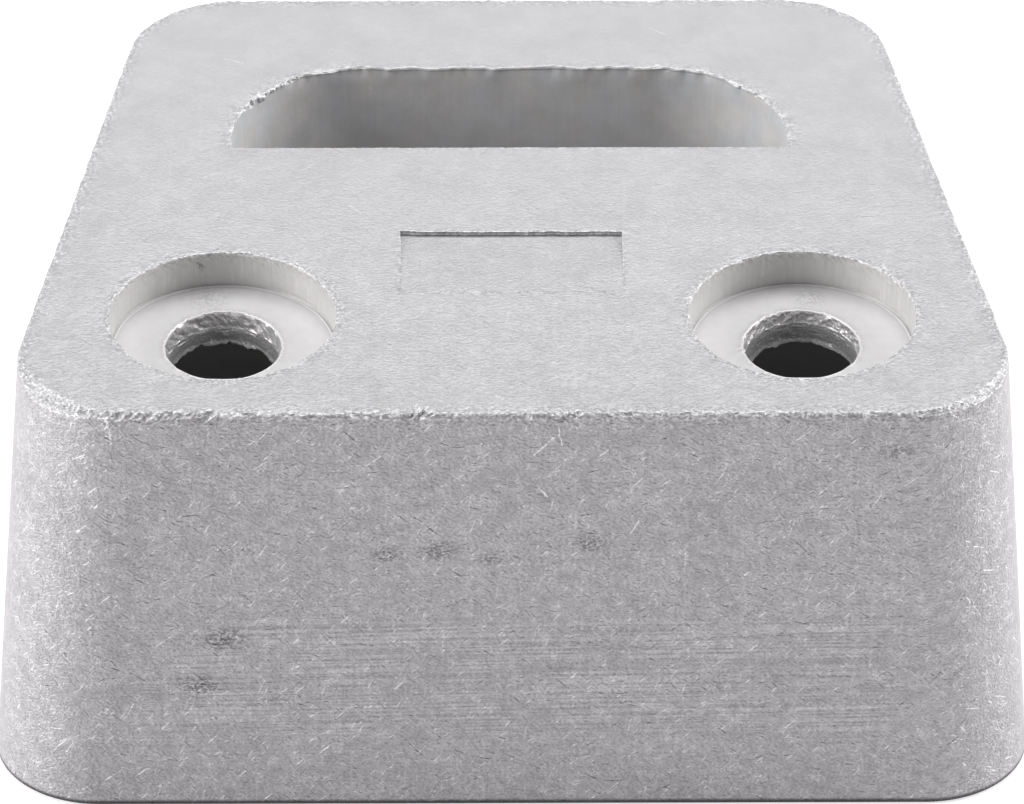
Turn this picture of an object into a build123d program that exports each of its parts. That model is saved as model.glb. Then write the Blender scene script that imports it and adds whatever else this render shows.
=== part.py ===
from build123d import *
from math import atan2, degrees
import os

# Block anode: one casting, a drafted block that narrows from the front edge to the back edge in plan.
# Millimetres. The origin is the middle of the underside, +X runs along the wide front edge,
# +Y points from the front edge to the narrow back edge and +Z points up out of the top face.

# Block, measured on the top face with its corners taken sharp
block_height = 36.6
front_width = 81.2
back_width = 60.9
top_length = 61.95
side_draft = 3.6
front_corner_radius = 8.4
back_corner_radius = 9.0
top_edge_radius = 0.3
base_edge_radius = 0.3

# Two bolt holes beside the front edge, each with a seat for the bolt's head above a thin web
hole_pitch = 46.1
hole_setback = 13.95
hole_diameter = 9.0
seat_diameter = 18.0
seat_depth = 3.1
web_thickness = 2.7

# The punch that pierced each web from below left its upper part torn wider
torn_depth = 1.3
torn_angle = 8.0

# Relief bore under each web, drawn from the underside
relief_diameter = 17.0
relief_draft = 1.0

# Window behind the holes: straight front wall, rounded back corners, right through the block
window_width = 45.9
window_length = 12.4
window_setback = 38.6
window_corner_radius = 11.0
window_draft = 1.5

# Shallow recess in the middle of the top face
recess_width = 17.9
recess_length = 8.75
recess_setback = 17.25
recess_depth = 0.4

# Places that follow from the sizes above
front_edge = -top_length / 2
side_slope = degrees(atan2(top_length, (front_width - back_width) / 2))
hole_row = front_edge + hole_setback
seat_floor = block_height - seat_depth
web_underside = seat_floor - web_thickness
window_middle = front_edge + window_setback + window_length / 2
recess_middle = front_edge + recess_setback + recess_length / 2
top_plane = Plane.XY.offset(block_height)


def is_upright(shape):
    """True for a face or an edge that climbs the whole height of the block."""
    return shape.bounding_box().size.Z > block_height / 2


with BuildPart() as anode_block:
    # Drafted block: the top outline widens evenly on all four sides towards the underside
    with BuildSketch(top_plane):
        Trapezoid(front_width, top_length, side_slope)
    extrude(amount=-block_height)
    draft(anode_block.faces().filter_by(is_upright), top_plane, side_draft)

    # The four upright corners keep one radius from top to bottom
    corners = anode_block.edges().filter_by(is_upright).sort_by(Axis.Y)
    fillet(corners[:2], front_corner_radius)
    corners = anode_block.edges().filter_by(is_upright).sort_by(Axis.Y)
    fillet(corners[-2:], back_corner_radius)

    # Slightly softened rims round the top face and the underside
    fillet(anode_block.faces().sort_by(Axis.Z)[-1].outer_wire().edges(), top_edge_radius)
    fillet(anode_block.faces().sort_by(Axis.Z)[0].outer_wire().edges(), base_edge_radius)

    # Window, narrower towards the underside as its core leaves through the top
    with BuildSketch(top_plane) as window_outline:
        with Locations((0, window_middle)):
            Rectangle(window_width, window_length)
        fillet(window_outline.vertices().group_by(Axis.Y)[-1], window_corner_radius)
    extrude(amount=-block_height, mode=Mode.SUBTRACT)
    draft(anode_block.faces(Select.LAST).filter_by(is_upright), top_plane, window_draft)

    # Recess
    with BuildSketch(top_plane):
        with Locations((0, recess_middle)):
            Rectangle(recess_width, recess_length)
    extrude(amount=-recess_depth, mode=Mode.SUBTRACT)

    # Bolt holes with the seats for their heads
    with Locations(top_plane):
        with Locations((0, hole_row)):
            with GridLocations(hole_pitch, 0, 2, 1):
                CounterBoreHole(hole_diameter / 2, seat_diameter / 2, seat_depth)

    # Torn part of each hole, flared up to the seat
    with BuildSketch(Plane.XY.offset(seat_floor - torn_depth)):
        with Locations((0, hole_row)):
            with GridLocations(hole_pitch, 0, 2, 1):
                Circle(hole_diameter / 2)
    extrude(amount=torn_depth, taper=-torn_angle, mode=Mode.SUBTRACT)

    # Relief bores, wider towards the underside
    with BuildSketch(Plane.XY.offset(web_underside)):
        with Locations((0, hole_row)):
            with GridLocations(hole_pitch, 0, 2, 1):
                Circle(relief_diameter / 2)
    extrude(amount=-web_underside, taper=-relief_draft, mode=Mode.SUBTRACT)

anode_block.part.label = "anode_block"

os.makedirs("parts", exist_ok=True)
export_step(anode_block.part, "parts/anode_block.step")

size = anode_block.part.bounding_box().size
print(f"box {size.X:.2f} x {size.Y:.2f} x {size.Z:.2f} mm, volume {anode_block.part.volume / 1000:.1f} cm3")
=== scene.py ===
# %% [markdown]
# # A block anode in cast aluminium
# The object is one casting that is bolted to a hull: a drafted block with two bolt holes, a window and a
# shallow recess. It left the mould with sharp edges and was then tumbled with others, so its skin is covered
# with short bruises in all directions and its edges are hammered. Only the seats for the bolts are machined.
# This lesson draws the block ring by ring, hammers its edges, and gives each kind of surface its own finish.

# %% Load the fixed frame
import math
import random

import bmesh
import bpy
from mathutils import Matrix, Vector, noise


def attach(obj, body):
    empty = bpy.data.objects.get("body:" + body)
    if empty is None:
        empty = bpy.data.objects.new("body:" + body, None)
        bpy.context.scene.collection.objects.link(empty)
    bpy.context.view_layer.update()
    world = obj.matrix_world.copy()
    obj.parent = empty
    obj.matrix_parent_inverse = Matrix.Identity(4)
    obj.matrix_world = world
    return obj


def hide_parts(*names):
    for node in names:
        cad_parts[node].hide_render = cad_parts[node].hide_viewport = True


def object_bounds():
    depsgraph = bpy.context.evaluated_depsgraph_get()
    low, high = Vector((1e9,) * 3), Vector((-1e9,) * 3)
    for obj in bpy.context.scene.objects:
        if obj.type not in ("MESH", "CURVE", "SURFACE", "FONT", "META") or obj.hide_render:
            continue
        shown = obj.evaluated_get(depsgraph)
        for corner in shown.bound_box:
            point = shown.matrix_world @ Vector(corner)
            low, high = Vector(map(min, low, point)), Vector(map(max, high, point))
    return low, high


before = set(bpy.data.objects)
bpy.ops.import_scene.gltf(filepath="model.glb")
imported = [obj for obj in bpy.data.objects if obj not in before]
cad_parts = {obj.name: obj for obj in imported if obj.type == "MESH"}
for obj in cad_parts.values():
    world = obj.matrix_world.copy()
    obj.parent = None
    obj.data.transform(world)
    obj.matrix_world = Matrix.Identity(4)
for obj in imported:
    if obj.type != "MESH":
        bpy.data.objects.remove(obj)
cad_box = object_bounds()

MM = 0.001
scene = bpy.context.scene
scene.view_settings.view_transform = "Standard"
print("CAD box in mm:", [[round(value / MM, 2) for value in corner] for corner in cad_box])

# %% [markdown]
# ## The camera
# The picture was taken from a good distance with a long lens, a little to the left of the block's middle and
# about 34 degrees above it. A long lens keeps the back edge almost as large as the front edge. The place and
# the turn of the camera were fitted to the block's corners and hole rims, so they are plain numbers here.

# %% Camera
camera_data = bpy.data.cameras.new("camera")
camera_data.lens = 266.96
camera_data.sensor_width = 36.0
camera_data.clip_start = 0.05
camera_data.clip_end = 20.0
camera = bpy.data.objects.new("camera", camera_data)
scene.collection.objects.link(camera)
camera_place = Vector((-5.89, -518.695, 372.41)) * MM
yaw, pitch, roll = math.radians(-0.671), math.radians(34.458), math.radians(0.25)
camera.matrix_world = (
    Matrix.Translation(camera_place)
    @ Matrix.Rotation(yaw, 4, "Z")
    @ Matrix.Rotation(math.pi / 2 - pitch, 4, "X")
    @ Matrix.Rotation(roll, 4, "Z")
)
scene.camera = camera
print("camera at", [round(value, 4) for value in camera.matrix_world.translation])

# %% [markdown]
# ## A recipe for a material
# A material is a small machine of nodes, and each node takes several lines to add, set and link. A recipe
# holds one tree of nodes and has a short call for each sum that is used here, so that a finish can be read
# like a formula. In every call a value may be a number or another node's output.

# %% Recipes


class Recipe:
    """Short calls that add nodes to one tree."""

    def __init__(self, tree):
        self.tree = tree

    def feed(self, socket, value):
        """Link an output to the socket, or write the number or colour into it."""
        if isinstance(value, bpy.types.NodeSocket):
            self.tree.links.new(value, socket)
        else:
            socket.default_value = value

    def node(self, kind, **settings):
        """A new node. Names that are input sockets get that value or link, the others are its settings."""
        made = self.tree.nodes.new(f"ShaderNode{kind}")
        for name, value in settings.items():
            if hasattr(made, name):
                setattr(made, name, value)
            else:
                self.feed(made.inputs[name.replace("_", " ")], value)
        return made

    def filled(self, kind, values, **settings):
        """A new node whose inputs get the values in order."""
        made = self.node(kind, **settings)
        for socket, value in zip(made.inputs, values):
            self.feed(socket, value)
        return made

    def maths(self, operation, *values):
        return self.filled("Math", values, operation=operation).outputs[0]

    def chain(self, operation, values):
        """The operation worked from the first value to the last."""
        total, *rest = values
        for value in rest:
            total = self.maths(operation, total, value)
        return total

    def plus(self, *values):
        return self.chain("ADD", values)

    def minus(self, *values):
        return self.chain("SUBTRACT", values)

    def times(self, *values):
        return self.chain("MULTIPLY", values)

    def highest(self, *values):
        return self.chain("MAXIMUM", values)

    def lowest(self, *values):
        return self.chain("MINIMUM", values)

    def lay_on(self, base, amount, share):
        """Base with a share of amount laid on it."""
        return self.maths("MULTIPLY_ADD", amount, share, base)

    def vectors(self, operation, *values):
        out = "Value" if operation in ("DOT_PRODUCT", "DISTANCE") else "Vector"
        return self.filled("VectorMath", values, operation=operation).outputs[out]

    def scaled(self, vector, factor):
        return self.node("VectorMath", operation="SCALE", Vector=vector, Scale=factor).outputs[0]

    def span(self, value, low, high, start=0.0, end=1.0, kind="SMOOTHSTEP"):
        """Value mapped from low..high to start..end, with soft ends."""
        return self.filled("MapRange", (value, low, high, start, end), interpolation_type=kind).outputs[0]

    def axes(self, vector):
        """The X, Y and Z of a vector."""
        return self.node("SeparateXYZ", Vector=vector).outputs

    def normal(self):
        return self.node("NewGeometry").outputs["Normal"]

    def painted(self, name):
        """A value that the mesh carries on its vertices."""
        return self.node("Attribute", attribute_name=name).outputs["Fac"]

    def place_in_mm(self, move=(0, 0, 0)):
        """Object coordinates in millimetres, moved so that each layer has its own cells."""
        coordinates = self.node("TexCoord").outputs["Object"]
        return self.node("Mapping", Vector=coordinates, Location=move, Scale=(1 / MM,) * 3).outputs[0]

    def noise(self, place, scale, detail=2.0, roughness=0.5, stretch=None):
        if stretch:
            place = self.node("Mapping", Vector=place, Scale=stretch).outputs[0]
        made = self.node("TexNoise", Vector=place, Scale=scale, Detail=detail, Roughness=roughness)
        return made.outputs[0]

    def blend(self, share, first, second):
        """A colour between two colours."""
        made = self.node("Mix", data_type="RGBA")
        for index, value in ((0, share), (6, first), (7, second)):
            self.feed(made.inputs[index], value)
        return made.outputs[2]

    def finish(self, colour, bump, **settings):
        """The metal's shader, with this colour and bump, on the material's surface."""
        shader = self.node("BsdfPrincipled", Base_Color=colour, Normal=bump.outputs[0], **settings)
        self.feed(self.surface, shader.outputs[0])


def new_material(name):
    """An empty material and its recipe."""
    material = bpy.data.materials.new(name)
    material.use_nodes = True
    material.node_tree.nodes.clear()
    recipe = Recipe(material.node_tree)
    recipe.surface = recipe.node("OutputMaterial").inputs["Surface"]
    return material, recipe


print("recipes ready")

# %% [markdown]
# ## Floor and light
# A plain pale floor carries the block and keeps its soft shadow. The camera and mirror rays see it a little
# brighter than it is lit, so that it reads as a white sweep and no extra light falls on the metal. The
# floor lies a hair below the underside, because two faces in one plane show as stripes.

# %% Floor
bpy.ops.object.select_all(action="DESELECT")
bpy.ops.mesh.primitive_plane_add(size=6.0, location=(0, 0, -0.02 * MM))
floor = bpy.context.object
floor.name = "floor"
floor_material, sweep = new_material("pale_floor")
light_path = sweep.node("LightPath").outputs
seeing_rays = ("Is Camera Ray", "Is Glossy Ray", "Is Transmission Ray")
seen = sweep.highest(*(light_path[ray] for ray in seeing_rays))
paint = sweep.node("BsdfDiffuse", Color=(0.62, 0.588, 0.61, 1))
glow = sweep.node("Emission", Strength=sweep.times(seen, 0.62))
both = sweep.filled("AddShader", (paint.outputs[0], glow.outputs[0]))
sweep.feed(sweep.surface, both.outputs[0])
floor.data.materials.append(floor_material)
print("floor", floor.name)

# %% [markdown]
# A broad lamp stands above and behind, and a soft lamp at each side lights the rounded corners. Small lamps
# would turn each bruise into a hard glint. The front face gets only what the floor and the room give it,
# which is why it is darker than the top, and the skin's colour carries some painted shade there as well.

# %% Lamps and room light
block_middle = Vector((0, 0, 0.018))


def soft_lamp(name, place, size, power):
    """An area lamp of size (width, height) at place, aimed at the block's middle."""
    lamp_data = bpy.data.lights.new(name, "AREA")
    lamp_data.shape = "RECTANGLE"
    lamp_data.size, lamp_data.size_y = size
    lamp_data.energy = power
    lamp = bpy.data.objects.new(name, lamp_data)
    scene.collection.objects.link(lamp)
    aim = (block_middle - Vector(place)).to_track_quat("-Z", "Y")
    lamp.matrix_world = Matrix.Translation(Vector(place)) @ aim.to_matrix().to_4x4()


soft_lamp("lamp_above", (0.0, 0.23, 0.71), (0.80, 0.50), 4.2)
soft_lamp("lamp_left", (-0.9, -0.14, 0.42), (0.6, 0.6), 9.5)
soft_lamp("lamp_right", (0.88, 0.17, 0.42), (0.6, 0.6), 8.9)

world = bpy.data.worlds.new("room")
scene.world = world
world.use_nodes = True
room = world.node_tree.nodes["Background"]
room.inputs["Color"].default_value = (1, 1, 1, 1)
room.inputs["Strength"].default_value = 0.18

# %% [markdown]
# ## Drawing with rings
# A cube with holes cut into it would be quick, but its rims would have few points, and the hammered edges
# need many. So each wall is drawn as a stack of rings: an outline is drawn once, extruded a little, moved
# outwards or inwards, extruded again, and so on down to the underside. A list of (offset, height) pairs is
# the wall's profile, close together at a rim and far apart where the wall is plain.

# %% Ring tools
TOP = 36.58 * MM
TINY = 2e-6


def start_piece(name):
    """A new piece with one vertex, in edit mode, and nothing else selected."""
    if bpy.context.object and bpy.context.object.mode == "EDIT":
        bpy.ops.object.mode_set(mode="OBJECT")
    bpy.ops.object.select_all(action="DESELECT")
    bpy.ops.mesh.primitive_plane_add(size=MM, location=(0, 0, 0))
    piece = bpy.context.object
    piece.name = name
    bpy.ops.object.mode_set(mode="EDIT")
    bpy.ops.mesh.select_mode(type="VERT")
    bpy.ops.mesh.merge(type="CENTER")
    return piece


def chosen(piece):
    """The numbers of the selected vertices."""
    mesh = bmesh.from_edit_mesh(piece.data)
    mesh.verts.index_update()
    return {vertex.index for vertex in mesh.verts if vertex.select}


def choose(piece, wanted, edges=False):
    """Select just the vertices, or the edges, for which wanted is true."""
    bpy.ops.mesh.select_mode(type="EDGE" if edges else "VERT")
    bpy.ops.mesh.select_all(action="DESELECT")
    mesh = bmesh.from_edit_mesh(piece.data)
    mesh.verts.index_update()
    for part in mesh.edges if edges else mesh.verts:
        if wanted(part):
            part.select_set(True)
    mesh.select_flush_mode()
    bmesh.update_edit_mesh(piece.data)


def shift(vector):
    bpy.ops.transform.translate(value=vector)


def pull(vector):
    """Extrude what is selected along a vector."""
    bpy.ops.mesh.extrude_region_move(TRANSFORM_OT_translate={"value": vector})


def grow(piece, outline, distance, keep_radius=False):
    """Move the selected ring outwards. Each of the outline's corners has a centre, a radius and a way."""
    ring = chosen(piece)
    for corner in outline:
        centre, radius, way = corner["centre"], corner["radius"], corner["way"]
        choose(piece, lambda v: v.index in ring and abs((v.co.xy - centre).length - radius) < TINY)
        if keep_radius or radius == 0:
            shift((way.x * distance, way.y * distance, 0))
            corner["centre"] = centre + way * distance
        else:
            factor = (radius + distance) / radius
            middle = (centre.x, centre.y, 0)
            bpy.ops.transform.resize(value=(factor, factor, 1), center_override=middle)
            corner["radius"] = radius + distance
    choose(piece, lambda v: v.index in ring)


def weigh(piece, group, weight):
    """Give the selected ring this weight in the vertex group."""
    if group not in piece.vertex_groups:
        piece.vertex_groups.new(name=group)
    piece.vertex_groups.active_index = piece.vertex_groups[group].index
    scene.tool_settings.vertex_group_weight = max(0.0, min(1.0, weight))
    bpy.ops.object.vertex_group_assign()


def draw_wall(piece, outline, profile, rim, reach, slide_below=None):
    """Extrude the selected ring through the profile's (offset, height) pairs, all in metres.

    Offsets are measured outwards from the outline's own edge. The weight in the rim's group falls from 1 at
    that edge to 0 at reach. Below slide_below the corners keep their radius."""
    offset, height = 0.0, None
    for index, (new_offset, new_height) in enumerate(profile):
        if index:
            pull((0, 0, new_height - height))
        keep = slide_below is not None and new_height < slide_below
        grow(piece, outline, new_offset - offset, keep)
        offset, height = new_offset, new_height
        weigh(piece, rim, 1 - math.hypot(offset, height - TOP) / reach)


def arc(centre, radius, start, end, steps):
    """Points of a round rim's section, from angle start to end in degrees."""
    angles = [math.radians(start + (end - start) * step / steps) for step in range(steps + 1)]
    return [(centre[0] + radius * math.cos(a), centre[1] + radius * math.sin(a)) for a in angles]


def below_top(pairs):
    """A profile in metres from (offset, depth below the top face) pairs in mm."""
    return [(offset * MM, TOP - depth * MM) for offset, depth in pairs]


def divide(piece, wanted, cuts):
    """Subdivide the edges for which wanted is true, on every ring at once."""
    choose(piece, wanted, edges=True)
    bpy.ops.mesh.subdivide(number_cuts=cuts)


def mirror_piece(piece):
    """Complete a right half with its mirror image, as mesh."""
    bpy.ops.object.mode_set(mode="OBJECT")
    mirror = piece.modifiers.new("other_half", "MIRROR")
    mirror.merge_threshold = TINY
    bpy.ops.object.modifier_apply(modifier=mirror.name)


print("ring tools ready")

# %% [markdown]
# ## The block's outside
# In plan the block is a trapezoid with rounded corners. The corners keep one radius from top to bottom while
# the four walls lean outwards by the mould's draft, as on any casting that has to leave its mould. The right
# half is drawn from the middle of the front edge to the middle of the back edge, with two spun corners.

# %% Outline of the block
half_front, half_back, half_length = 40.6 * MM, 30.45 * MM, 30.975 * MM
front_radius, back_radius = 8.4 * MM, 9.0 * MM
draft_angle = 3.6
draft = math.tan(math.radians(draft_angle))
side = Vector((half_back - half_front, 2 * half_length)).normalized()
side_normal = Vector((side.y, -side.x))
front_turn = math.atan2(side_normal.y, side_normal.x) + math.pi / 2
back_turn = math.pi - front_turn


def corner_at(y_sign, radius, edge_x):
    """Centre of a corner's arc, and how far it slides when both its walls move out by one unit."""
    y_centre = y_sign * (half_length - radius)
    reach = side_normal.dot(Vector((edge_x, y_sign * half_length))) - radius
    centre = Vector(((reach - side_normal.y * y_centre) / side_normal.x, y_centre))
    way = Vector(((1 - side_normal.y * y_sign) / side_normal.x, y_sign))
    return {"centre": centre, "radius": radius, "way": way}


def sharp_at(x, y, way):
    """A corner without a radius, or the end of a half outline."""
    return {"centre": Vector((x, y)), "radius": 0, "way": Vector(way)}


front_corner = corner_at(-1, front_radius, half_front)
back_corner = corner_at(1, back_radius, half_back)
top_corners = [(front_corner["centre"].copy(), front_radius, -1),
               (back_corner["centre"].copy(), back_radius, 1)]
block_outline = [
    sharp_at(0, -half_length, (0, -1)),
    front_corner,
    back_corner,
    sharp_at(0, half_length, (0, 1)),
]
print("corner centres in mm:", [[round(v / MM, 2) for v in centre] for centre, _, _ in top_corners])

# %% [markdown]
# Half the outline is drawn at the level of the top face, starting from one point: a run along the front, an
# arc, a run along the side, an arc and a run along the back. Spinning the last point round a corner's centre
# gives an even arc.

# %% Draw the block's right half
block = start_piece("anode_casting")
shift((0, -half_length, TOP))
pull((front_corner["centre"].x, 0, 0))
for corner, turn, steps in ((front_corner, front_turn, 52), (back_corner, back_turn, 40)):
    centre = corner["centre"]
    bpy.ops.mesh.spin(steps=steps, angle=-turn, center=(centre.x, centre.y, TOP), axis=(0, 0, 1))
    if corner is front_corner:
        arc_start = back_corner["centre"] + side_normal * back_radius
        arc_end = front_corner["centre"] + side_normal * front_radius
        pull((arc_start.x - arc_end.x, arc_start.y - arc_end.y, 0))
pull((-back_corner["centre"].x, 0, 0))
print("half outline:", len(bmesh.from_edit_mesh(block.data).verts), "vertices")

# %% [markdown]
# The wall's profile starts on the top face and turns over a small rim. Just below, it swells by a few
# hundredths of a millimetre, where tumbling pushed the metal over. Then it follows the draft down to a
# rounded foot.

# %% Wall of the block
rim_radius = 0.3 * MM
foot_radius = 0.3 * MM
inner = rim_radius * math.tan(math.radians(90 - draft_angle) / 2)
lip_steps = [(0.05, 0.38), (0.058, 0.47), (0.05, 0.56), (0.042, 0.66), (0.048, 0.78)]
depths = [0.95, 1.2, 1.6, 2.2, 3.0, 4.2, 6.0, 8.5, 11.5, 15.0, 19.0, 23.0, 27.0, 31.0, 34.5]
block_profile = below_top((-step, 0.0) for step in (2.0, 1.5, 1.15, 0.85, 0.65, 0.48))
block_profile += arc((-inner, TOP - rim_radius), rim_radius, 90, draft_angle, 5)
block_profile += below_top(lip_steps)
block_profile += below_top((depth * draft, depth) for depth in depths)
foot_offset = TOP * draft
block_profile += arc((foot_offset - foot_radius * 1.03, foot_radius), foot_radius, draft_angle, -90, 5)
block_profile += [(foot_offset - 1.2 * MM, 0.0)]
choose(block, lambda v: True)
draw_wall(block, block_outline, block_profile, "outer_rim", 1.5 * MM, slide_below=TOP - 0.6 * MM)
print("block rings:", len(block_profile))

# %% [markdown]
# The outline still has only one edge along each straight wall. Dividing those edges afterwards gives every
# ring its columns at once, and the columns stay straight from top to bottom. The front has the closest
# columns, because its hammered edge has the finest shape. A mirror then makes the left half.

# %% Columns and the left half
front_cuts, side_cuts, back_cuts = 122, 98, 56
finest_spans = ((-34.5, -22.5), (-8.6, -6.0), (3.8, 5.6))


def lies_along(edge, way, near, least=5 * MM):
    """True for a level edge longer than least that runs the given way and whose middle passes near."""
    first, second = (vertex.co for vertex in edge.verts)
    run = second - first
    if way == "x":
        right_way = abs(run.y) < TINY
    else:
        right_way = abs(run.y) > 2 * abs(run.x)
    return right_way and abs(run.z) < TINY and run.length > least and near((first + second) / 2)


def on_finest_edge(middle):
    """True on the front where the strokes are finest."""
    return middle.y < -25 * MM and any(low < middle.x / MM < high for low, high in finest_spans)


divide(block, lambda edge: lies_along(edge, "x", lambda middle: middle.y < 0), front_cuts)
divide(block, lambda edge: lies_along(edge, "slant", lambda middle: True), side_cuts)
divide(block, lambda edge: lies_along(edge, "x", lambda middle: middle.y > 0), back_cuts)
mirror_piece(block)
bpy.ops.object.mode_set(mode="EDIT")
divide(block, lambda edge: lies_along(edge, "x", on_finest_edge, least=0.2 * MM), 1)
bpy.ops.object.mode_set(mode="OBJECT")
print("block outside:", len(block.data.polygons), "faces")

# %% [markdown]
# ## The bolt holes
# Each hole has a seat that an end mill cut, a web that a punch pierced from below, and a wide relief bore
# under the web. The punch tore the upper part of the web open, left fine rings where it rubbed, and pushed a
# ragged lip out at the bottom. All of it turns round one axis, so one circle is extruded and resized along a
# profile. The hole is drawn once and copied, each copy with its own mesh.

# %% Profile of a bolt hole, in mm
seat_radius, seat_floor = 9.0, 33.5
relief_radius, web_thickness, relief_foot = 8.5, 2.7, 0.4
relief_slope = math.tan(math.radians(1.0))
top_mm = TOP / MM

seat_profile = [(step, top_mm) for step in (1.4, 1.05, 0.8, 0.6, 0.44, 0.32, 0.2)]
seat_profile += arc((0.1, top_mm - 0.1), 0.1, 90, 180, 3)
seat_profile += [(0.0, top_mm - depth) for depth in (0.22, 0.36, 0.55, 0.8, 1.15, 1.6, 2.1, 2.6, 2.85)]
groove = [(-0.03, 0.07), (-0.09, 0.01), (-0.16, 0.055), (-0.24, 0.05), (-0.33, 0.0)]
seat_profile += [(offset, seat_floor + level) for offset, level in groove]
seat_profile += [(-step, seat_floor) for step in (0.6, 1.2, 2.0, 2.8, 3.4, 3.75)]

# Below the seat: radius, and level from the seat's floor
bore_profile = [(4.92, 0.01), (4.84, 0.03), (4.77, 0.05), (4.71, 0.05), (4.66, 0.02), (4.63, -0.04)]
bore_profile += [(4.62 - 0.011 * step, -0.14 - 0.145 * step) for step in range(9)]
bore_profile += [(4.50, -1.37), (4.508, -1.43), (4.48, -1.49), (4.488, -1.55), (4.46, -1.61), (4.468, -1.67)]
bore_profile += [(4.44, -1.74), (4.448, -1.81), (4.43, -1.89), (4.438, -1.97), (4.42, -2.07), (4.425, -2.2)]
bore_profile += [(4.415, -2.34), (4.40, -2.48), (4.36, -2.60), (4.32, -2.70), (4.31, -2.79), (4.36, -2.86)]
bore_profile += [(4.50, -2.88), (4.75, -2.80), (5.3, -2.72), (6.5, -2.70), (7.9, -2.70), (8.35, -2.76)]
bore_profile += [(relief_radius, -2.95)]

web_height = seat_floor - web_thickness
relief_levels = (27.5, 23.5, 19.5, 15.5, 11.5, 7.5, 4.0, 2.0)
relief_profile = [(relief_radius + (web_height - level) * relief_slope, level) for level in relief_levels]
relief_edge = relief_radius + web_height * relief_slope
relief_profile += arc((relief_edge + relief_foot, relief_foot), relief_foot, 180, 270, 4)
relief_profile += [(relief_edge + 1.0, 0.0)]

hole_profile = [(offset * MM, level * MM) for offset, level in seat_profile]
hole_profile += [((radius - seat_radius) * MM, (seat_floor + level) * MM) for radius, level in bore_profile]
hole_profile += [((radius - seat_radius) * MM, level * MM) for radius, level in relief_profile]
print("rings of a hole:", len(hole_profile))

# %% [markdown]
# The circle that follows this profile has 256 points, enough for the fine tears of the web. The copy is
# moved to the mirrored place, so both holes start out the same and get their own tears later.

# %% Draw one bolt hole and copy it
hole_x, hole_y = 23.05 * MM, -17.025 * MM
hole = start_piece("bolt_hole")
bpy.ops.mesh.select_all(action="SELECT")
bpy.ops.mesh.delete(type="VERT")
bpy.ops.mesh.primitive_circle_add(vertices=256, radius=seat_radius * MM, location=(hole_x, hole_y, TOP))
hole_outline = [{"centre": Vector((hole_x, hole_y)), "radius": seat_radius * MM, "way": Vector((0, 0))}]
draw_wall(hole, hole_outline, hole_profile, "seat_rim", 1.1 * MM)
bpy.ops.object.mode_set(mode="OBJECT")
bpy.ops.object.select_all(action="DESELECT")
hole.select_set(True)
bpy.ops.object.duplicate(linked=False)
other_hole = bpy.context.object
shift((-2 * hole_x, 0, 0))
bpy.ops.object.transform_apply(location=True, rotation=True, scale=True)
print("one bolt hole:", len(hole.data.polygons), "faces")

# %% [markdown]
# ## The window and the recess
# The window's front wall is straight and its two back corners are large arcs, so its outline is drawn with
# two straight runs, one spin and one more run, and mirrored. It narrows towards the underside, because its
# core left the mould through the top.

# %% Draw the window
window_front, window_back, window_side, window_arc = 7.72 * MM, 20.025 * MM, 22.95 * MM, 11.0 * MM
window_slope = math.tan(math.radians(1.5))
window_lip, window_foot = 0.08 * MM, 0.4 * MM
arc_centre = Vector((window_side - window_arc, window_back - window_arc))
window = start_piece("window")
shift((0, window_front, TOP))
pull((window_side, 0, 0))
pull((0, arc_centre.y - window_front, 0))
bpy.ops.mesh.spin(steps=110, angle=-math.pi / 2, center=(*arc_centre, TOP), axis=(0, 0, 1))
pull((-arc_centre.x, 0, 0))
window_outline = [
    sharp_at(0, window_front, (0, -1)),
    sharp_at(window_side, window_front, (1, -1)),
    {"centre": arc_centre, "radius": window_arc, "way": Vector((1, 1))},
    sharp_at(0, window_back, (0, 1)),
]
levels = [0.5, 0.62, 0.8, 1.1, 1.5, 2.1, 3.0, 4.5, 7.0, 10.0, 14.0, 18.0, 22.0, 26.0, 30.0, 33.5, 35.2]
window_profile = below_top((step, 0.0) for step in (1.9, 1.5, 1.15, 0.85, 0.6, 0.42, 0.28))
window_profile += arc((window_lip, TOP - window_lip), window_lip, 90, 180, 3)
window_profile += below_top([(-0.02, 0.15), (-0.02, 0.21), (-0.01, 0.30), (-0.01, 0.40)])
window_profile += below_top((-depth * window_slope, depth) for depth in levels)
core_offset = -TOP * window_slope
window_profile += arc((core_offset + window_foot, window_foot), window_foot, 180, 270, 4)
window_profile += [(core_offset + 1.0 * MM, 0.0)]
choose(window, lambda v: True)
draw_wall(window, window_outline, window_profile, "window_rim", 1.3 * MM)
divide(window, lambda edge: lies_along(edge, "x", lambda middle: middle.y < 9 * MM), 56)
divide(window, lambda edge: lies_along(edge, "slant", lambda middle: middle.x > 20 * MM, least=0.8 * MM), 4)
divide(window, lambda edge: lies_along(edge, "x", lambda middle: middle.y > 18 * MM), 47)
mirror_piece(window)
print("window:", len(window.data.polygons), "faces")

# %% [markdown]
# The recess is drawn in the same way, with sharp corners. It is half a millimetre deep at the back, rises to
# nearly nothing at the front, and stays bare. So its depth is scaled along Y, and one face closes its floor.

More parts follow.
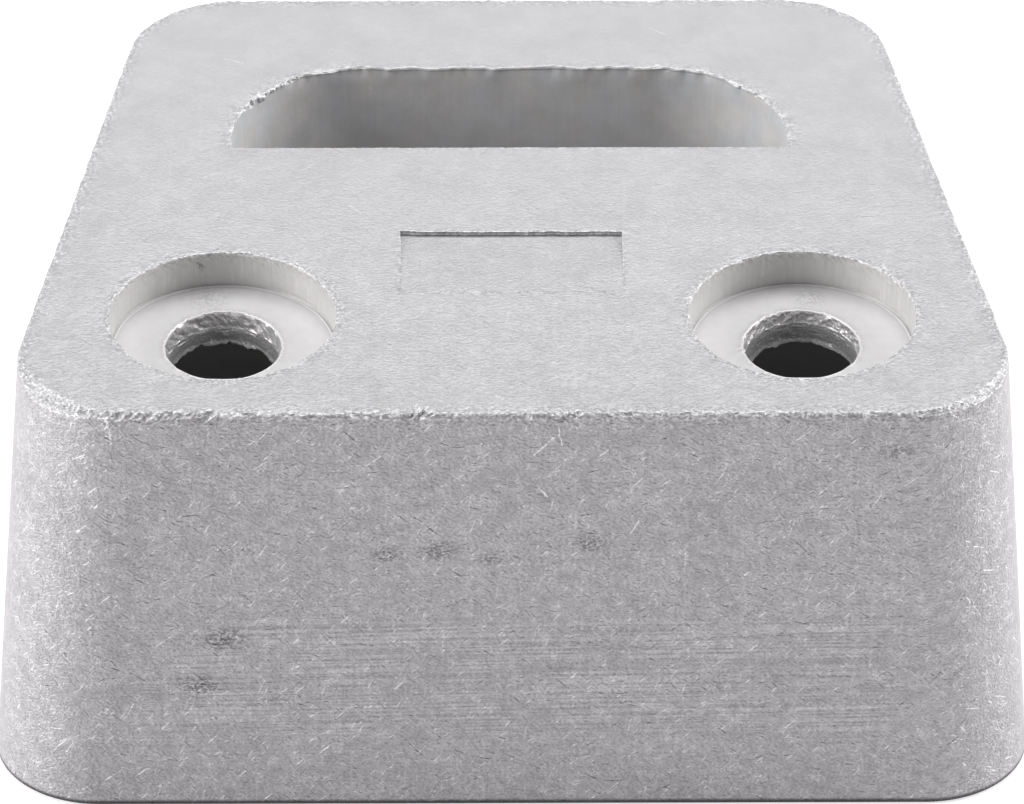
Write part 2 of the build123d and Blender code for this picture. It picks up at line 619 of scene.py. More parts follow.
# %% Draw the recess
recess_front, recess_back, recess_side = -13.725 * MM, -4.975 * MM, 8.95 * MM
recess = start_piece("recess")
shift((0, recess_front, TOP))
for run in ((recess_side, 0, 0), (0, recess_back - recess_front, 0), (-recess_side, 0, 0)):
    pull(run)
recess_outline = [
    sharp_at(0, recess_front, (0, -1)),
    sharp_at(recess_side, recess_front, (1, -1)),
    sharp_at(recess_side, recess_back, (1, 1)),
    sharp_at(0, recess_back, (0, 1)),
]
recess_steps = [(step, 0.0) for step in (0.9, 0.6, 0.4, 0.25, 0.12, 0.05)]
recess_steps += [(0.0, 0.02), (0.03, 0.08), (0.05, 0.14), (0.02, 0.21), (-0.01, 0.28), (0.02, 0.34)]
recess_steps += [(0.06, 0.40), (0.0, 0.445), (-0.15, 0.45), (-0.4, 0.45)]
choose(recess, lambda v: True)
draw_wall(recess, recess_outline, below_top(recess_steps), "recess_rim", 0.6 * MM)
divide(recess, lambda edge: lies_along(edge, "x", lambda middle: True), 34)
divide(recess, lambda edge: lies_along(edge, "slant", lambda middle: True), 22)
mirror_piece(recess)
front_share = 0.06
for vertex in recess.data.vertices:
    along = (vertex.co.y - recess_front) / (recess_back - recess_front)
    share = front_share + (1 - front_share) * max(0.0, min(1.0, along)) ** 3
    vertex.co.z = TOP - (TOP - vertex.co.z) * share
bpy.ops.object.mode_set(mode="EDIT")
choose(recess, lambda edge: edge.is_boundary and edge.verts[0].co.z < TOP - TINY, edges=True)
bpy.ops.mesh.edge_face_add()
bpy.ops.object.mode_set(mode="OBJECT")
print("recess:", len(recess.data.polygons), "faces")

# %% [markdown]
# ## One casting
# The walls are joined into one piece. What is missing now are two flat faces, the top and the underside, each
# with holes in it. Filling from the selected rings makes them, and the casting is then closed all round.

# %% Join and close the casting
bpy.ops.object.select_all(action="DESELECT")
for piece in (hole, other_hole, window, recess, block):
    piece.select_set(True)
bpy.context.view_layer.objects.active = block
bpy.ops.object.join()
bpy.ops.object.mode_set(mode="EDIT")
for flat in (TOP, 0.0):
    choose(block, lambda e: e.is_boundary and all(abs(v.co.z - flat) < TINY for v in e.verts), edges=True)
    bpy.ops.mesh.fill(use_beauty=True)
bpy.ops.mesh.select_mode(type="VERT")
bpy.ops.mesh.select_all(action="SELECT")
bpy.ops.mesh.remove_doubles(threshold=TINY)
bpy.ops.mesh.normals_make_consistent(inside=False)
mesh = bmesh.from_edit_mesh(block.data)
open_edges = sum(not edge.is_manifold for edge in mesh.edges)
volume = mesh.calc_volume(signed=True)
bpy.ops.object.mode_set(mode="OBJECT")
triangles = sum(len(face.vertices) - 2 for face in block.data.polygons)
print("casting:", triangles, "triangles, open edges", open_edges, "volume cm3", round(volume * 1e6, 1))

# %% [markdown]
# ## Faces by the tool that made them
# The skin of the casting, the milled seats, the torn webs, the relief bores and the window's core wall each
# look different, so each gets its own material slot. The faces are picked by place while the piece is still
# regular, before its edges are hammered.

# %% Material slots
recipes = {}
for name in ("tumbled_skin", "milled_seat", "torn_web", "relief_bore_painted_shade", "window_wall"):
    material, recipes[name] = new_material(name)
    block.data.materials.append(material)
slots = list(recipes)
foot_level = 0.3
web_reach, relief_reach = 4.97, 9.3


def from_hole(point):
    """Distance from the nearer bolt hole's axis."""
    return math.hypot(abs(point.x) - hole_x, point.y - hole_y)


def in_window(point):
    """True on the window's wall, which lies inside its outline at the top face."""
    slack = 0.1 * MM
    if not window_front - slack < point.y < window_back + slack or abs(point.x) > window_side + slack:
        return False
    beyond = Vector((max(0.0, abs(point.x) - arc_centre.x), max(0.0, point.y - arc_centre.y)))
    return beyond.length < window_arc + 0.06 * MM


def finish_at(point):
    """The finish of the face whose middle is at this point."""
    away, level = from_hole(point) / MM, point.z / MM
    if away < web_reach and web_height - 0.5 < level < seat_floor - 0.05:
        return "torn_web"
    if away < relief_reach and level < web_height - 0.05:
        return "relief_bore_painted_shade" if level > foot_level else "tumbled_skin"
    if away < seat_radius + 0.06 and level < top_mm - 0.1:
        return "milled_seat"
    if in_window(point) and foot_level < level < top_mm - 0.06:
        return "window_wall"
    return "tumbled_skin"


slot_of = [slots.index(finish_at(face.center)) for face in block.data.polygons]
block.data.polygons.foreach_set("material_index", slot_of)
print({name: slot_of.count(index) for index, name in enumerate(slots)})

# %% [markdown]
# ## Hammered edges
# Tumbling knocks the sharp edges into a chain of small flats and lips. Each flat is made like a stroke of a
# file: whatever lies nearer to the sharp edge than the stroke is deep moves into the metal at a slant. The
# depth changes along the edge: a row of slanted strokes at the front left, broad soft corners, and noise
# elsewhere. Displace modifiers then roughen what the strokes left.

# %% Helpers for working the edges


def weights_of(group):
    """The weight of every vertex in a vertex group."""
    index = block.vertex_groups[group].index
    found = [0.0] * len(block.data.vertices)
    for vertex in block.data.vertices:
        for entry in vertex.groups:
            if entry.group == index:
                found[vertex.index] = entry.weight
    return found


def wave(*values):
    """Smooth noise from -1 to 1 at a point given in units of its own wavelength."""
    return noise.noise(Vector(values))


def dents(x, y, *layers):
    """How deep random dents are at x, y in mm. Layers are (depth, size, seed)."""
    return sum(depth * max(0.0, wave(x / size, y / size, seed)) for depth, size, seed in layers)


def knock_off(vertex, depth_in, into, size):
    """File the sharp edge down by size mm. Depth_in is the vertex's distance from the edge, measured into."""
    excess = size * MM - max(depth_in, 0.0) - (TOP - vertex.co.z)
    if excess > 0:
        vertex.co += Vector((into.x, into.y, -1)) * (excess / 2)
    return excess > 0


def refine(wanted, cuts):
    """Divide the faces round the wanted vertices, so that small shapes have enough points."""
    bpy.ops.object.mode_set(mode="EDIT")
    choose(block, wanted)
    bpy.ops.mesh.subdivide(number_cuts=cuts)
    bpy.ops.object.mode_set(mode="OBJECT")


print("edge helpers ready")

# %% [markdown]
# Small beads of metal stand on the window's rim, most of them on its left arc. They are only a few tenths of
# a millimetre across, so the mesh gets more points there before anything is moved.

# %% More points where the beads sit
bead_sizes = [
    ((-21.32, 14.77), 0.36), ((-20.57, 15.84), 0.41), ((-20.10, 16.40), 0.24), ((-19.63, 16.88), 0.26),
    ((-19.19, 17.29), 0.20), ((-18.77, 17.64), 0.24), ((-18.31, 17.99), 0.19), ((-17.89, 18.27), 0.24),
    ((-21.84, 13.82), 0.19), ((-17.35, 18.59), 0.18), ((19.24, 17.25), 0.22), ((20.51, 15.92), 0.19),
]
bead_sink = 0.7
beads = [(Vector((x * MM, y * MM, TOP - bead_sink * r * MM)), r * MM) for (x, y), r in bead_sizes]
refine(lambda v: any((v.co - centre).length < 1.25 * radius + 0.08 * MM for centre, radius in beads), 2)
print("vertices after refining:", len(block.data.vertices))

# %% [markdown]
# The outer edge took the most blows. Its front corners are worn rounder than its straight parts, the left
# one most. At the front left a row of slanted strokes lies side by side, and these have a place of their
# own. Sixty weaker ones are strewn along the rest of the front.

# %% File the outer edge
side_reach = side_normal.dot(Vector((half_front, -half_length)))


def outer_edge(point):
    """Distance of a point inside the top outline, and the way inwards there."""
    mirrored = Vector((abs(point.x), point.y))
    walls = ((half_length + point.y, Vector((0, -1))), (half_length - point.y, Vector((0, 1))),
             (side_reach - side_normal.dot(mirrored), side_normal))
    depth_in, outward = min(walls, key=lambda wall: wall[0])
    for centre, radius, y_sign in top_corners:
        away = mirrored - centre
        if away.x > 0 and y_sign * away.dot(side) > 0:
            depth_in, outward = radius - away.length, away.normalized()
    return depth_in, Vector((math.copysign(1, point.x) * -outward.x, -outward.y))


# Strokes on the front edge: place along x, half width and depth, in mm
strokes = [
    (-33.3, 0.5, 0.42), (-32.4, 0.45, 0.5), (-31.6, 0.4, 0.4), (-30.85, 0.55, 0.62), (-30.0, 0.42, 0.5),
    (-29.25, 0.4, 0.4), (-28.5, 0.52, 0.6), (-27.9, 0.32, 0.42), (-27.43, 0.32, 0.5), (-27.0, 0.3, 0.5),
    (-26.6, 0.3, 0.5), (-26.05, 0.45, 0.55), (-25.4, 0.36, 0.4), (-24.5, 0.3, 0.4), (-23.9, 0.5, 0.75),
    (-7.9, 0.3, 0.5), (-7.3, 0.4, 0.75), (4.3, 0.3, 0.35), (4.85, 0.35, 0.55), (9.0, 0.4, 0.42),
]
dice = random.Random(11)
strokes += [(dice.uniform(-23, 34), dice.uniform(0.2, 0.6), dice.uniform(0.15, 0.38)) for _ in range(60)]
strokes.sort()
stroke_slant = 0.55
left_softening, right_softening = 0.75, 0.45
filed = 0
for vertex, weight in zip(block.data.vertices, weights_of("outer_rim")):
    if weight <= 0:
        continue
    depth_in, into = outer_edge(vertex.co)
    x, y, z = vertex.co / MM
    corner_share = max(0.0, 2 * abs(into.x) * into.y)
    softening = left_softening if x < 0 else right_softening
    size = 0.10 + softening * corner_share + dents(x, y, (0.22, 1.4, 3), (0.14, 0.45, 7))
    if y < -25:
        slanted = x + stroke_slant * ((TOP - vertex.co.z) - depth_in) / MM
        for place, half, depth in strokes:
            if abs(slanted - place) < half:
                size = max(size, depth * (1 - 0.6 * ((slanted - place) / half) ** 2))
    filed += knock_off(vertex, depth_in, into, size)
print("vertices of the outer edge filed:", filed)

# %% [markdown]
# The rims of the seats and the window are filed by random dents alone. The window's back edge is the
# sharpest: it wanders in slow waves, and the wall is hollow just below it, which throws a thin dark line.

# %% File the rims of the seats and the window


def window_edge(point):
    """Distance of a point outside the window's top outline, and the way outwards there."""
    mirrored = Vector((abs(point.x), point.y))
    away = mirrored - arc_centre
    if away.x > 0 and away.y > 0:
        depth_in, outward = away.length - window_arc, away.normalized()
    else:
        walls = ((window_front - point.y, Vector((0, -1))), (point.y - window_back, Vector((0, 1))),
                 (mirrored.x - window_side, Vector((1, 0))))
        depth_in, outward = max(walls, key=lambda wall: wall[0])
    return depth_in, Vector((math.copysign(1, point.x) * outward.x, outward.y))


def back_edge_move(x, z, weight, facing):
    """How far the window's back edge moves backwards, in mm, by its waves and by the hollow below it."""
    waves = weight * (0.38 * wave(x / 2.3, 3.3, 8) + 0.17 * wave(x / 0.8, 5.1, 2))
    below = top_mm - z
    hollow = max(0.0, min((below - 0.2) / 0.1, 1 - (below - 0.3) / 0.6))
    return waves + 0.08 * hollow * max(0.0, min(1.0, (facing - 0.8) / 0.15))


filed = 0
rim_weights = zip(block.data.vertices, weights_of("seat_rim"), weights_of("window_rim"))
for vertex, seat_weight, window_weight in rim_weights:
    x, y, z = vertex.co / MM
    if seat_weight > 0:
        away = vertex.co.xy - Vector((math.copysign(hole_x, x), hole_y))
        size = 0.05 + dents(x, y, (0.26, 1.1, 5), (0.2, 0.4, 2))
        filed += knock_off(vertex, away.length - seat_radius * MM, away.normalized(), size)
    if window_weight > 0:
        depth_in, into = window_edge(vertex.co)
        rough = 0.25 if into.y < 0 else 0.35 if into.y > 0.97 else 1.0
        size = 0.06 + rough * dents(x, y, (0.3, 1.2, 1), (0.16, 0.4, 4))
        filed += knock_off(vertex, depth_in, into, size)
        if into.y > 0.3:
            vertex.co.y += back_edge_move(x, z, window_weight, into.y) * MM
print("vertices of the inner rims filed:", filed)

# %% [markdown]
# A filed edge still looks too clean. Noise of three sizes moves the rims in and out along their normals, by
# a tenth of a millimetre or so. The window's straight edges stayed smoother than its arcs, so their weight
# is lowered first.

# %% Calm the window's straight edges, then roughen the rims with modifiers
window_rim = block.vertex_groups["window_rim"]
for vertex, weight in zip(block.data.vertices, weights_of("window_rim")):
    if weight > 0:
        on_front_edge = vertex.co.y < window_front + 0.3 * MM
        calm = 0.22 if on_front_edge else 0.5 if abs(vertex.co.x) < 12 * MM else 1.0
        calm *= 0.3 if vertex.co.z < TOP - 0.3 * MM else 1.0
        window_rim.add([vertex.index], calm * weight, "REPLACE")


def roughen(group, size, strength):
    """Displace the piece along its normals by noise of this size, where the vertex group has weight."""
    texture = bpy.data.textures.new(f"{group}_{size}", "CLOUDS")
    texture.noise_scale = size * MM
    modifier = block.modifiers.new("roughen", "DISPLACE")
    modifier.texture = texture
    modifier.texture_coords = "LOCAL"
    modifier.vertex_group = group
    modifier.strength = strength * MM
    modifier.mid_level = 0.55
    bpy.ops.object.modifier_apply(modifier=modifier.name)


bpy.ops.object.select_all(action="DESELECT")
block.select_set(True)
bpy.context.view_layer.objects.active = block
noise_sizes = (1.4, 0.5, 0.25)
for group, strengths in (("outer_rim", (0.16, 0.16, 0.12)), ("seat_rim", (0.12, 0.14, 0.12)),
                         ("window_rim", (0.20, 0.15, 0.09)), ("recess_rim", (0.0, 0.05, 0.0))):
    for size, strength in zip(noise_sizes, strengths):
        if strength:
            roughen(group, size, strength)
print("rims roughened")

# %% [markdown]
# The recess was pressed in with a stamp, and its back wall is ragged along the top. On the left arc of the
# window small beads of metal stand on the edge. A bead is the part of a ball that comes out of the wall, so
# every vertex inside the ball moves out to its surface.

# %% Ragged recess edge and beads
for vertex, weight in zip(block.data.vertices, weights_of("recess_rim")):
    x, y, z = vertex.co / MM
    if weight > 0 and recess_back / MM - 0.03 < y and abs(x) < 9.2:
        ragged = 0.10 * wave(x / 2.2, 4.4, 1) + 0.09 * wave(x / 0.7, 2.2, 5)
        ragged += 0.28 * max(0.0, -x - 7.4) / 1.6
        vertex.co.y += ragged * weight * MM
        vertex.co.z -= max(0.0, ragged) * 0.15 * weight * MM


def near_beads(point):
    """True on the part of the rim where the beads sit."""
    return point.y > 13 * MM and point.z > TOP - 1 * MM


raised = set()
for vertex in block.data.vertices:
    if not near_beads(vertex.co):
        continue
    for centre, radius in beads:
        away = vertex.co - centre
        if 0 < away.length < radius:
            vertex.co = centre + away.normalized() * radius
            raised.add(vertex.index)
for face in block.data.polygons:
    if all(index in raised for index in face.vertices):
        face.material_index = slots.index("tumbled_skin")
print("bead vertices:", len(raised))

# %% [markdown]
# The web's wall was torn, not cut. The tears run down at a slant, so the noise that moves the wall in and out
# is stretched along a slanted line. The lip below is ragged: its edge wanders up and down, with a few jags.
# The tears of the right hole are a little shorter, and the punch came in a little slanted, so each hole is
# longer towards the back.

# %% Tear the webs
hole_radius = 4.6
burr_radius, burr_width = 4.73, 0.35
torn_end, rings_end = -1.37, -2.35
right_shift = 0.33
near_flare, far_stretch = 0.7, 0.38
web_top, web_foot = 0.3, -3.1


def web_move(away, level, around, outward, seed):
    """How far a vertex of a web moves, in mm. Level is measured from the seat, around along the wall."""
    if away > 4.62 and level > -0.06:
        burr = 1 - min(1.0, abs(away - burr_radius) / burr_width)
        lift = (0.10 * wave(around / 0.9, seed, 0) + 0.10 * wave(around / 0.3, seed, 5)) * burr
        return outward * lift + Vector((0, 0, 0.6 * lift))
    if level > torn_end + 0.01:
        slant = around + 0.75 * level
        tear = 0.15 * wave(slant / 0.7, level / 1.1, seed) + 0.10 * wave(slant / 0.25, level / 0.35, seed + 7)
        return outward * (tear * min(1.0, (level - torn_end + 0.03) / 0.25))
    if level > rings_end:
        return outward * (0.03 * wave(around / 0.8, level / 0.12, seed))
    depth = min(1.0, (rings_end - level) / 0.45)
    sink = 0.16 * wave(around / 1.4, seed, 2) + 0.12 * wave(around / 0.5, seed, 6)
    jag = max(0.0, wave(around / 0.8, seed, 11) - 0.25) * 0.6
    return (Vector((0, 0, sink + jag)) + outward * (0.6 * sink + 0.5 * jag)) * depth


for vertex in block.data.vertices:
    x, y, z = vertex.co / MM
    away, level = from_hole(vertex.co) / MM, z - seat_floor
    if away > 5.4 or level > 0.12 or level < -3.0:
        continue
    left = x < 0
    local = Vector((x - math.copysign(hole_x / MM, x), y - hole_y / MM, 0))
    around = math.atan2(local.y, abs(x) - hole_x / MM) * hole_radius
    vertex.co += web_move(away, level, around, local.normalized(), 3.0 if left else 40.0) * MM
    if not left:
        vertex.co.z += right_shift * MM * max(0.0, 1 - abs(level - torn_end))
    near_side = -local.y - 4.52
    if near_side > 0 and level > -0.4:
        vertex.co.y += near_flare * near_side * MM * max(0.0, 1 - max(0.0, away - 4.7) / 0.5)
for vertex in block.data.vertices:
    away, level = from_hole(vertex.co) / MM, vertex.co.z / MM - seat_floor
    if away < 6.4 and web_foot < level < web_top:
        back = max(0.0, (vertex.co.y - hole_y) / MM / max(away, 4.0))
        vertex.co.y += far_stretch * MM * back ** 2 * min(1.0, (6.4 - away) / 1.5)
print("webs torn")

# %% [markdown]
# Nothing may stand outside the box that the solid model gives, so the piece is measured and held inside it.
# Shading is then set smooth, with sharp lines only where two faces meet at a clear angle.

# %% Hold the piece inside its box and shade it
low, high = (Vector(corner) for corner in cad_box)
margin = Vector((0.015, 0.015, 0.002)) * MM
held = 0
for vertex in block.data.vertices:
    inside = Vector(min(max(c, a), b) for c, a, b in zip(vertex.co, low + margin, high - margin))
    inside.z = max(vertex.co.z, 0.0) if vertex.co.z < 0.5 * MM else inside.z
    held += (inside - vertex.co).length > TINY
    vertex.co = inside
block.data.update()
sharp_angle = math.radians(38)
bpy.ops.object.shade_smooth_by_angle(angle=sharp_angle)
print("vertices held inside the box:", held)

# %% [markdown]
# Rubbing polishes the crests of a hammered edge and leaves dirt in its hollows, and the finish also paints
# highlights on the crests and shade in the hollows. For each vertex the mean slope to its neighbours tells
# which of the two it is, so the finish can follow the shape that was made.

# %% Crests, hollows and wear
mesh = block.data
rims = {group: weights_of(group) for group in ("outer_rim", "seat_rim", "window_rim", "recess_rim")}
wear = [max(values) for values in zip(*rims.values())]
places = [vertex.co.copy() for vertex in mesh.vertices]
normals = [vertex.normal.copy() for vertex in mesh.vertices]
slope_sum, neighbours = [0.0] * len(places), [0] * len(places)
for edge in mesh.edges:
    first, second = edge.vertices
    run = places[second] - places[first]
    length = max(run.length, 1e-7)
    slope_sum[first] += run.dot(normals[first]) / length
    slope_sum[second] -= run.dot(normals[second]) / length
    neighbours[first] += 1
    neighbours[second] += 1
slopes = [total / max(count, 1) for total, count in zip(slope_sum, neighbours)]
crest_gain, window_calm, bead_crest, gap_crest = 4.0, 0.35, 0.8, 0.3
crest = [max(-1.0, min(1.0, -crest_gain * slope)) for slope in slopes]
for index, (place, weight) in enumerate(zip(places, rims["window_rim"])):
    if weight > 0 and place.y > arc_centre.y:
        crest[index] *= window_calm
    # The beads and the metal round them get a bright crest value, which becomes a painted highlight.
    if near_beads(place) and any((place - centre).length < 1.3 * radius for centre, radius in beads):
        crest[index] = max(bead_crest if index in raised else gap_crest, crest[index])
for name, values in (("wear", wear), ("crest", crest)):
    mesh.attributes.new(name, "FLOAT", "POINT").data.foreach_set("value", values)
strong = sum(value > 0.5 for value in crest)
print("worn vertices:", sum(value > 0 for value in wear), "strong crests:", strong)

# %% [markdown]
# ## The bruised skin
# Tumbling leaves thousands of short bruises, each a streak about a millimetre long and a tenth wide, lying in
# any direction over the ones before. One image could show them, but it would stretch on this shape. Here a
# layer of cells in space gives each cell one streak: the cell's own colour picks the streak's direction in
# the plane of the surface, and distances from the cell's point give its length and width. Several layers of
# different sizes lie on each other.

# %% Group of nodes for one layer of streaks


def new_group(name, given, results):
    """A node group's recipe, with its own inputs and outputs. Given and results are (name, kind) pairs."""
    tree = bpy.data.node_groups.new(name, "ShaderNodeTree")
    for way, sockets in (("INPUT", given), ("OUTPUT", results)):
        for socket, kind in sockets:
            tree.interface.new_socket(socket, in_out=way, socket_type=f"NodeSocket{kind}")
    group = Recipe(tree)
    group.given = tree.nodes.new("NodeGroupInput").outputs
    group.results = tree.nodes.new("NodeGroupOutput").inputs
    return group


streak = new_group(
    "streaks",
    (("Place", "Vector"), ("Cells", "Float"), ("Length", "Float"), ("Width", "Float")),
    (("Tone", "Float"), ("Tilt", "Vector")),
)
cells = streak.node("TexVoronoi", Vector=streak.given["Place"], Scale=streak.given["Cells"]).outputs
normal = streak.normal()
reach = streak.vectors("SUBTRACT", streak.given["Place"], cells["Position"])
lean = streak.vectors("SUBTRACT", cells["Color"], (0.5, 0.5, 0.5))
upright = streak.scaled(normal, streak.vectors("DOT_PRODUCT", lean, normal))
along = streak.vectors("NORMALIZE", streak.vectors("SUBTRACT", lean, upright))
across = streak.vectors("CROSS_PRODUCT", normal, along)


def share_of(direction, size):
    """-1 and 1 at the streak's two ends or edges, 0 on its middle line."""
    return streak.maths("DIVIDE", streak.vectors("DOT_PRODUCT", reach, direction), size)


def dome(share):
    """1 on the middle line, 0 at the edge."""
    return streak.highest(streak.minus(1.0, streak.times(share, share)), 0.0)


over_width = share_of(across, streak.given["Width"])
ridge = streak.times(dome(share_of(along, streak.given["Length"])), dome(over_width))
red = streak.node("SeparateColor", Color=cells["Color"]).outputs[0]
chance = streak.minus(streak.times(red, 2.0), 0.78)
tone = streak.times(ridge, chance)
streak.feed(streak.results["Tone"], tone)
streak.feed(streak.results["Tilt"], streak.scaled(across, streak.times(tone, streak.plus(over_width, 0.6))))
print("streak group:", len(streak.tree.nodes), "nodes")

# %% [markdown]
# One layer alone would show its cells. Layers with cells of different sizes, each moved to a place of its
# own, lie on each other like bruises of different ages. Their tones and their tilts are added up.

# %% Stack the layers of streaks


def streak_stack(recipe, layers):
    """The summed tone and tilt of several layers of streaks. Layers are (cell, length, width, share)."""
    tone, tilt = 0.0, None
    for number, (cell, length, width, share) in enumerate(layers):
        place = recipe.place_in_mm((17.3 * number + 3.1, 9.7 * number, 5.9 * number))
        sizes = {"Cells": 1 / cell, "Length": length, "Width": width}
        layer = recipe.node("Group", node_tree=streak.tree, Place=place, **sizes).outputs
        tone = recipe.lay_on(tone, layer["Tone"], share)
        tilt = recipe.vectors("ADD", layer["Tilt"], tilt) if tilt else layer["Tilt"]
    return tone, tilt


def tilted(recipe, tilt, strength):
    """The surface's normal, leaned over by the streaks."""
    lean = recipe.scaled(tilt, strength)
    return recipe.vectors("NORMALIZE", recipe.vectors("ADD", recipe.normal(), lean))


skin_layers = [(0.74, 0.36, 0.046, 1.1), (0.48, 0.24, 0.038, 1.15), (1.15, 0.58, 0.05, 1.1),
               (2.1, 1.00, 0.055, 1.15)]
web_layers = [(0.6, 0.26, 0.045, 1.0), (0.4, 0.18, 0.035, 1.0)]
print("layers of streaks:", len(skin_layers), "on the skin,", len(web_layers), "on the webs")

# %% [markdown]
# Some marks have a place of their own: a few long scratches, smudges of dark specks on the front, and a
# band low on the front where the block was dragged sideways. A scratch is the line between two points, and
# a smudge is a ball that lets dark specks through.

# %% Groups of nodes for a scratch and a smudge
scratch_given = (("Place", "Vector"), ("From", "Vector"), ("To", "Vector"), ("Width", "Float"))
line = new_group("scratch", scratch_given, [("Mask", "Float")])
run = line.vectors("SUBTRACT", line.given["To"], line.given["From"])
away = line.vectors("SUBTRACT", line.given["Place"], line.given["From"])
share = line.maths("DIVIDE", line.vectors("DOT_PRODUCT", away, run), line.vectors("DOT_PRODUCT", run, run))
share = line.lowest(line.highest(share, 0.0), 1.0)
off_line = line.vectors("DISTANCE", away, line.scaled(run, share))
line.feed(line.results["Mask"], line.span(off_line, 0.0, line.given["Width"], 1.0, 0.0))

smudge_given = (("Place", "Vector"), ("Centre", "Vector"), ("Radius", "Float"))
ball = new_group("smudge", smudge_given, [("Mask", "Float")])
off_centre = ball.vectors("DISTANCE", ball.given["Place"], ball.given["Centre"])
ball.feed(ball.results["Mask"], ball.span(off_centre, 0.0, ball.given["Radius"], 1.0, 0.0))


def masks_of(recipe, group, place, rows):
    """The largest mask of several scratches or smudges. Rows hold the group's inputs after Place."""
    masks = [recipe.filled("Group", (place, *row), node_tree=group.tree).outputs[0] for row in rows]
    return recipe.highest(*masks)


print("groups:", line.tree.name, ball.tree.name)

# %% [markdown]
# The largest of these marks were measured in the picture. A row holds two ends and a width, or a centre and
# a radius. Marks on the front have a zero for Y and marks on the top a zero for Z, because the distance from
# them is measured flat, in the plane of that face.

# %% Marks with a place of their own, in mm
front_scratches = [((1.56, 0, 32.84), (3.19, 0, 34.5), 0.13), ((3.34, 0, 35.5), (3.67, 0, 33.7), 0.10),
                   ((1.96, 0, 29.82), (2.52, 0, 28.8), 0.12), ((-31.9, 0, 36.1), (-31.4, 0, 34.3), 0.12)]
top_scratches = [((-23.9, 21.6, 0), (-22.2, 20.8, 0), 0.11), ((-17.35, 4.1, 0), (-16.05, 5.15, 0), 0.10),
                 ((-25.0, 3.2, 0), (-23.5, 4.1, 0), 0.10), ((-3.0, -27.5, 0), (-1.1, -28.65, 0), 0.09),
                 ((-1.1, -28.65, 0), (-0.1, -29.7, 0), 0.07), ((-13.1, -1.0, 0), (-12.1, -2.4, 0), 0.10),
                 ((12.0, 26.2, 0), (13.3, 25.2, 0), 0.10)]
edge_glints = [((-7.8, -31.0, 36.6), (-7.75, -31.0, 36.4), 0.15),
               ((-7.6, -30.4, 36.55), (-7.4, -30.1, 36.58), 0.14),
               ((-7.3, -30.9, 36.5), (-6.7, -29.9, 36.6), 0.09),
               ((4.45, -31.0, 36.5), (4.95, -30.4, 36.6), 0.13)]
light_lines = [((6.9, 0, 16.9), (9.4, 0, 17.0), 0.07), ((10.1, 0, 15.4), (16.4, 0, 15.5), 0.06),
               ((18.1, 0, 12.7), (23.2, 0, 12.7), 0.07), ((28.4, 0, 11.3), (33.5, 0, 11.3), 0.07),
               ((11.3, 0, 9.0), (29.4, 0, 9.2), 0.07), ((-28.9, 0, 11.0), (-17.0, 0, 11.0), 0.06)]
dark_lines = [((14.3, 0, 15.8), (22.0, 0, 16.1), 0.09), ((20.7, 0, 12.3), (23.2, 0, 12.3), 0.08),
              ((25.2, 0, 12.2), (27.6, 0, 12.2), 0.08), ((27.5, 0, 17.7), (31.0, 0, 17.8), 0.09)]
smudge_places = [((-9.9, -31.8, 23.7), 1.2), ((-5.9, -31.8, 24.0), 1.3), ((6.1, -31.7, 24.6), 1.2),
                 ((-1.8, -31.8, 23.2), 0.9), ((-23.0, -32.3, 15.9), 1.8), ((-25.0, -32.6, 11.4), 1.5),
                 ((30.0, -31.2, 33.0), 1.2)]
tables = (front_scratches, top_scratches, edge_glints, light_lines, dark_lines, smudge_places)
print("marks with a place of their own:", sum(len(table) for table in tables))

# %% [markdown]
# The skin's finish starts from one number, its tone: 1 is clean metal, less is darker, more is brighter. Its
# starting value rises from the front wall to the far end of the top, a painted gradient of light. The
# bruises, the grain of the casting and slow patches change it first. They stand out most on the walls and
# near the front, and least at the far end of the top.

# %% Tumbled skin, bruises and grain
skin = recipes["tumbled_skin"]
place = skin.place_in_mm()
x_mm, y_mm, z_mm = skin.axes(place)
facing = skin.axes(skin.normal())
marks, tilt = streak_stack(skin, skin_layers)
grain = skin.noise(place, 4.6, detail=1.5, roughness=0.6, stretch=(0.8, 1.0, 1.15))
patches = skin.noise(place, 1.0, roughness=0.6)
cloud = skin.noise(place, 0.22)
patchy = skin.span(patches, 0.37, 0.62, 0.3, 1.5)
upward = skin.highest(facing["Z"], 0.0)
sideways = skin.maths("ABSOLUTE", facing["X"])
front_wall = -31.0


def from_front(reach, near, far):
    """A value that goes from near at the front wall to far at the given Y, in mm."""
    return skin.span(y_mm, front_wall, reach, near, far, "LINEAR")


def but_on_sides(least):
    """1 on most of the skin, and least on the walls that face sideways."""
    return skin.span(sideways, 0.86, 0.99, 1.0, least)


def about_half(pattern):
    """A noise moved so that its middle is zero."""
    return skin.minus(pattern, 0.5)


contrast = skin.times(from_front(26.0, 1.0, 0.10), skin.lay_on(1.5, upward, -0.75), but_on_sides(0.6))
# Painted light: the tone starts at 0.83 on the front wall and rises to 0.912 at the far end of the top.
tone = skin.lay_on(from_front(31.0, 0.83, 0.912), skin.times(marks, patchy, contrast), 0.31)
tone = skin.lay_on(tone, about_half(grain), skin.times(contrast, 0.42))
tone = skin.lay_on(tone, about_half(patches), skin.lay_on(0.05, contrast, 0.32))
tone = skin.plus(tone, skin.lay_on(-0.10, cloud, 0.20))
print("bruises and grain:", len(skin.tree.nodes), "nodes")

# %% [markdown]
# Next come the worn edges. Crests are made brighter, as polish from rubbing and as painted highlight, and
# hollows darker, as dirt and as painted shade. The grain breaks both into flecks, because a rubbed edge is
# never bright all along.

# %% Tumbled skin, worn edges
crest = skin.painted("crest")
worn = skin.painted("wear")
fleck = skin.span(grain, 0.42, 0.58)
# Painted highlight together with polish: crests are brightened.
polish_and_highlight = skin.times(skin.highest(crest, 0.0), skin.lay_on(0.10, fleck, 0.5))
tone = skin.plus(tone, skin.times(polish_and_highlight, but_on_sides(0.35)))
